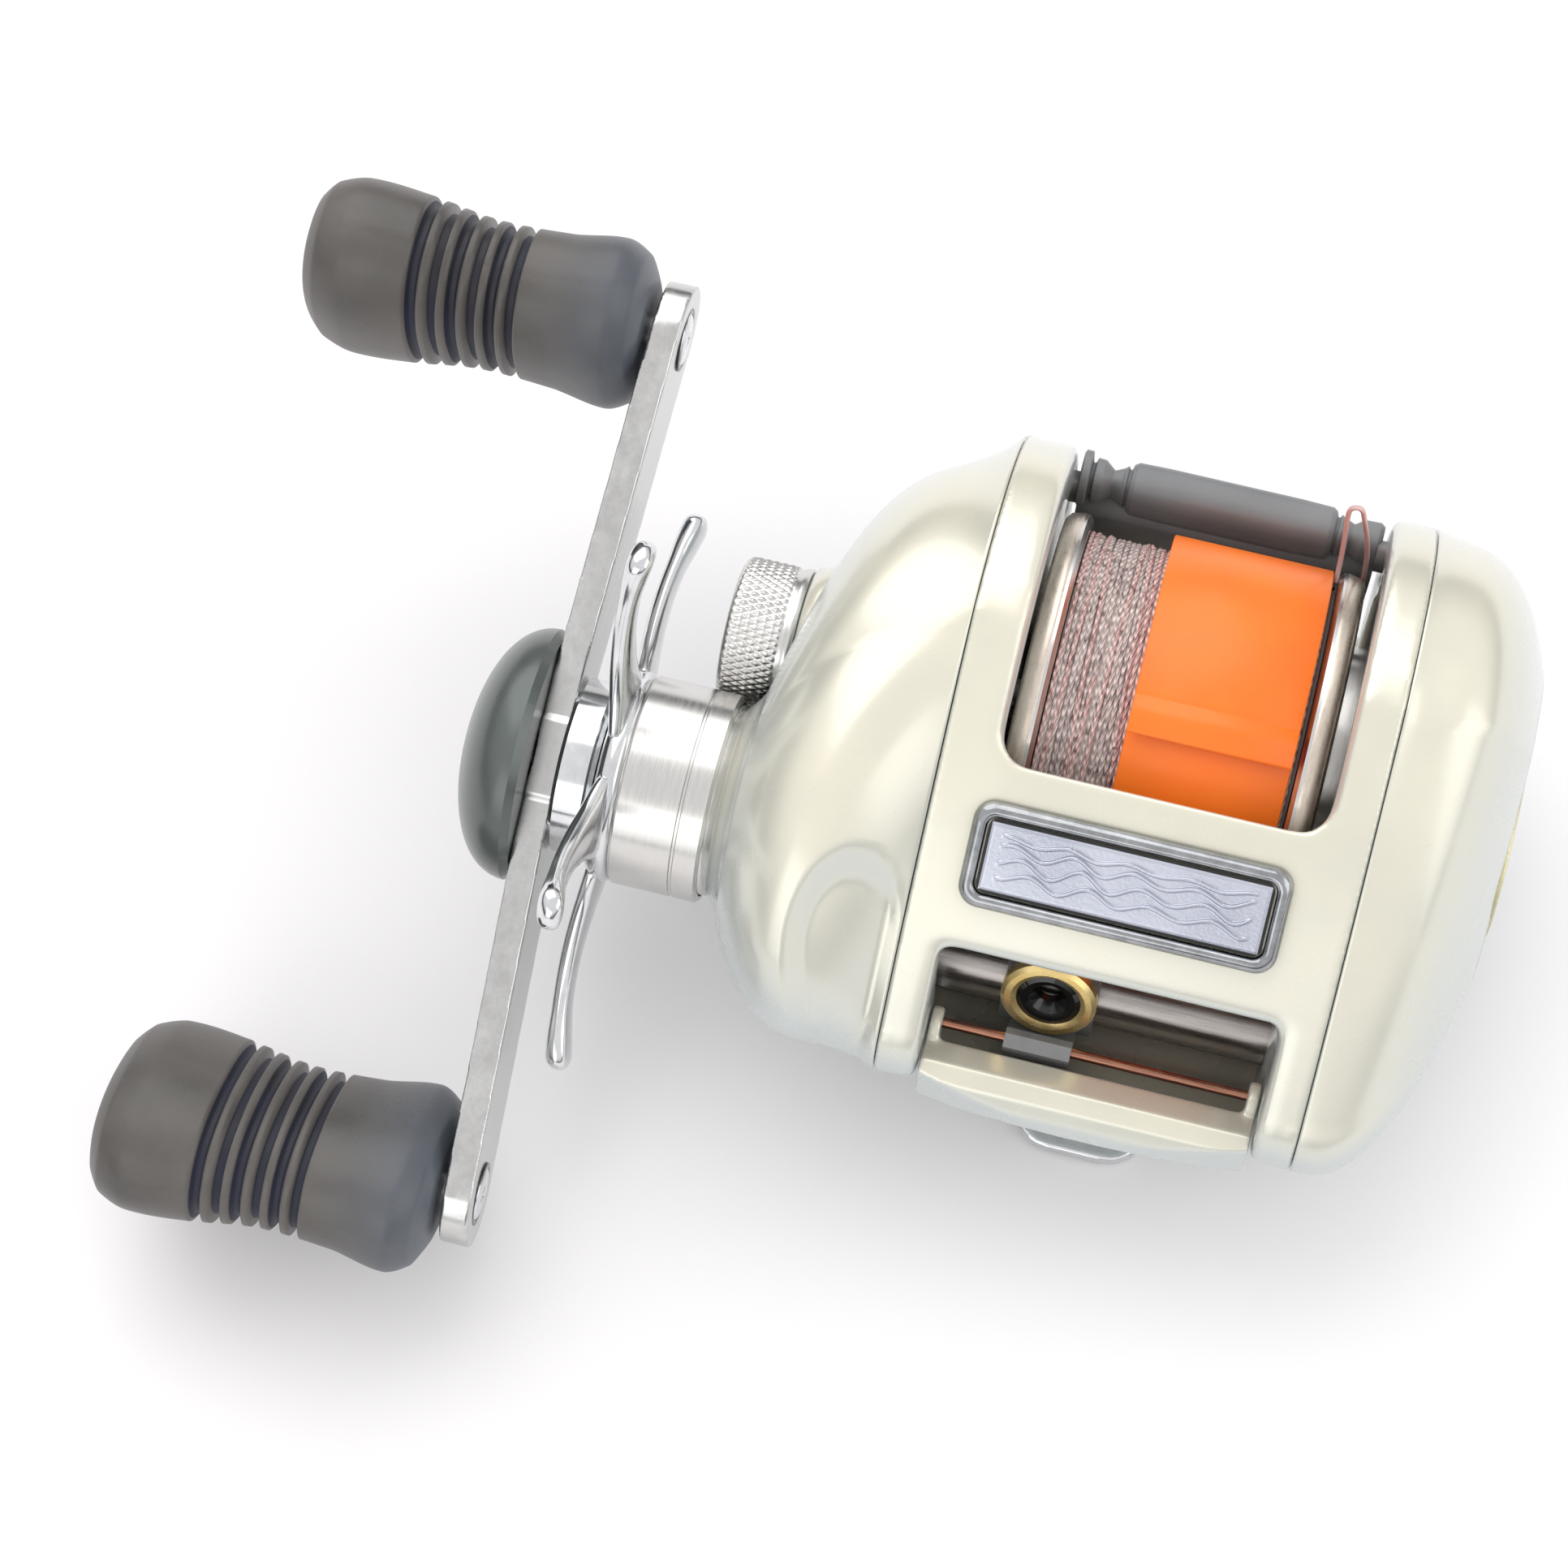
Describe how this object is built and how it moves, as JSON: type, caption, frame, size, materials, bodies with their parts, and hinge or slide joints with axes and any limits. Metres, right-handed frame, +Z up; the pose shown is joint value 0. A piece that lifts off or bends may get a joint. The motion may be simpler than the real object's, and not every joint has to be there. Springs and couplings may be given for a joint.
{
  "type": "baitcasting reel",
  "caption": "Low-profile baitcasting reel with a pearl frame, paddle-knob crank handle, star drag, knurled cast control, thumb bar, line guide and a line spool held by a clip.",
  "frame": {"origin": "centre of the reel foot's underside", "axes": "+X to the palm side along the spool and handle shafts, -Y to the front where the line leaves, +Z up from the rod"},
  "size_m": [0.1239, 0.0962, 0.0561],
  "materials": {
    "pearl_paint": "pearl gloss",
    "chrome": "polished",
    "satin_aluminium": "satin",
    "steel": "ground",
    "bearing_steel": "polished",
    "brass": "machined",
    "gold_plate": "polished",
    "dark_plastic": "satin",
    "cap_plastic": "satin",
    "knob_rubber": "worn matt",
    "black_ceramic": "polished",
    "badge_panel": "satin",
    "inlay_gold": "glitter",
    "orange_plastic": "translucent gloss",
    "braid": "woven",
    "drag_fibre": "woven",
    "brake_plastic": "moulded",
    "bronze": "drawn"
  },
  "bodies": {
    "frame": {"frame_casting": "pearl_paint", "handle_side_cover": "pearl_paint", "palm_side_cover": "pearl_paint", "palm_inlay": "inlay_gold", "cover_screws": "steel", "nose_guard": "pearl_paint", "guide_rod": "bronze", "reel_foot": "chrome", "foot_rivets": "steel", "badge_rim": "chrome", "badge_plate": "badge_panel", "brake_drum": "satin_aluminium", "brake_plate": "satin_aluminium", "spool_bearing_handle_side": "bearing_steel", "spool_bearing_palm_side": "bearing_steel", "spool_end_bearing": "bearing_steel", "drive_shaft_bearing": "bearing_steel", "pinion_bearing": "bearing_steel", "yoke_posts": "steel", "yoke_springs": "steel", "one_way_clutch_bearing": "bearing_steel", "worm_tube": "steel", "worm_bushes": "brass", "line_tail": "braid"},
    "handle": {"handle_arm": "satin_aluminium", "knob_pins": "satin_aluminium", "handle_nut": "steel", "nut_cap": "cap_plastic", "shaft_collar": "chrome", "drive_shaft": "steel", "drive_gear": "brass", "drag_washers": "drag_fibre", "ratchet_wheel": "steel", "worm_drive_gear": "dark_plastic", "clutch_sleeve": "steel"},
    "star": {"star_drag": "chrome", "drag_barrel": "satin_aluminium", "star_nut": "steel"},
    "front_knob": {"front_knob": "knob_rubber"},
    "rear_knob": {"rear_knob": "knob_rubber"},
    "cast_control": {"cast_control_knob": "satin_aluminium", "cast_shim": "dark_plastic"},
    "spool": {"spool": "satin_aluminium", "spool_shaft": "steel", "spool_pin": "steel", "wound_line": "braid", "spool_clip": "orange_plastic", "brake_hub": "satin_aluminium", "brake_blocks": "brake_plastic"},
    "pinion": {"pinion_gear": "brass"},
    "yoke": {"clutch_yoke": "dark_plastic"},
    "thumb_bar": {"thumb_bar": "dark_plastic", "clutch_cam": "dark_plastic"},
    "worm": {"worm_shaft": "steel", "worm_gear": "dark_plastic"},
    "line_guide": {"line_carriage": "dark_plastic", "guide_ring": "gold_plate", "guide_insert": "black_ceramic", "wind_pawl": "brass", "pawl_cap": "brass"}
  },
  "joints": [
    {"name": "handle_turn", "type": "hinge", "parent": "frame", "child": "handle", "pos_m": [-0.04, -0.013, 0.02535], "axis": [1, 0, 0], "continuous": true},
    {"name": "front_knob_spin", "type": "hinge", "parent": "handle", "child": "front_knob", "pos_m": [-0.074, -0.05197, 0.00968], "axis": [1, 0, 0], "continuous": true},
    {"name": "rear_knob_spin", "type": "hinge", "parent": "handle", "child": "rear_knob", "pos_m": [-0.074, 0.02597, 0.04102], "axis": [1, 0, 0], "continuous": true},
    {"name": "star_turn", "type": "hinge", "parent": "handle", "child": "star", "pos_m": [-0.048, -0.013, 0.02535], "axis": [1, 0, 0], "range_deg": [-170, 170]},
    {"name": "cast_control_turn", "type": "hinge", "parent": "frame", "child": "cast_control", "pos_m": [-0.04, 0.0045, 0.026], "axis": [1, 0, 0], "range_deg": [-170, 170]},
    {"name": "spool_spin", "type": "hinge", "parent": "frame", "child": "spool", "pos_m": [0, 0.0045, 0.026], "axis": [1, 0, 0], "continuous": true},
    {"name": "thumb_bar_press", "type": "slide", "parent": "frame", "child": "thumb_bar", "axis": [0, 0, -1], "range_m": [0, 0.0045]},
    {"name": "yoke_slide", "type": "slide", "parent": "frame", "child": "yoke", "axis": [-1, 0, 0], "range_m": [0, 0.0022], "deforming": ["yoke_springs"]},
    {"name": "pinion_spin", "type": "hinge", "parent": "yoke", "child": "pinion", "pos_m": [-0.03, 0.0045, 0.026], "axis": [1, 0, 0], "continuous": true},
    {"name": "worm_spin", "type": "hinge", "parent": "frame", "child": "worm", "pos_m": [0, -0.0193, 0.0162], "axis": [1, 0, 0], "continuous": true},
    {"name": "line_guide_slide", "type": "slide", "parent": "frame", "child": "line_guide", "axis": [1, 0, 0], "range_m": [-0.0055, 0.0155]}
  ],
  "couplings": [
    {"joint": "spool_spin", "follows": "handle_turn", "ratio": -5.1429},
    {"joint": "pinion_spin", "follows": "handle_turn", "ratio": -5.1429},
    {"joint": "worm_spin", "follows": "handle_turn", "ratio": -1.5},
    {"joint": "yoke_slide", "follows": "thumb_bar_press", "ratio": 0.48889}
  ]
}
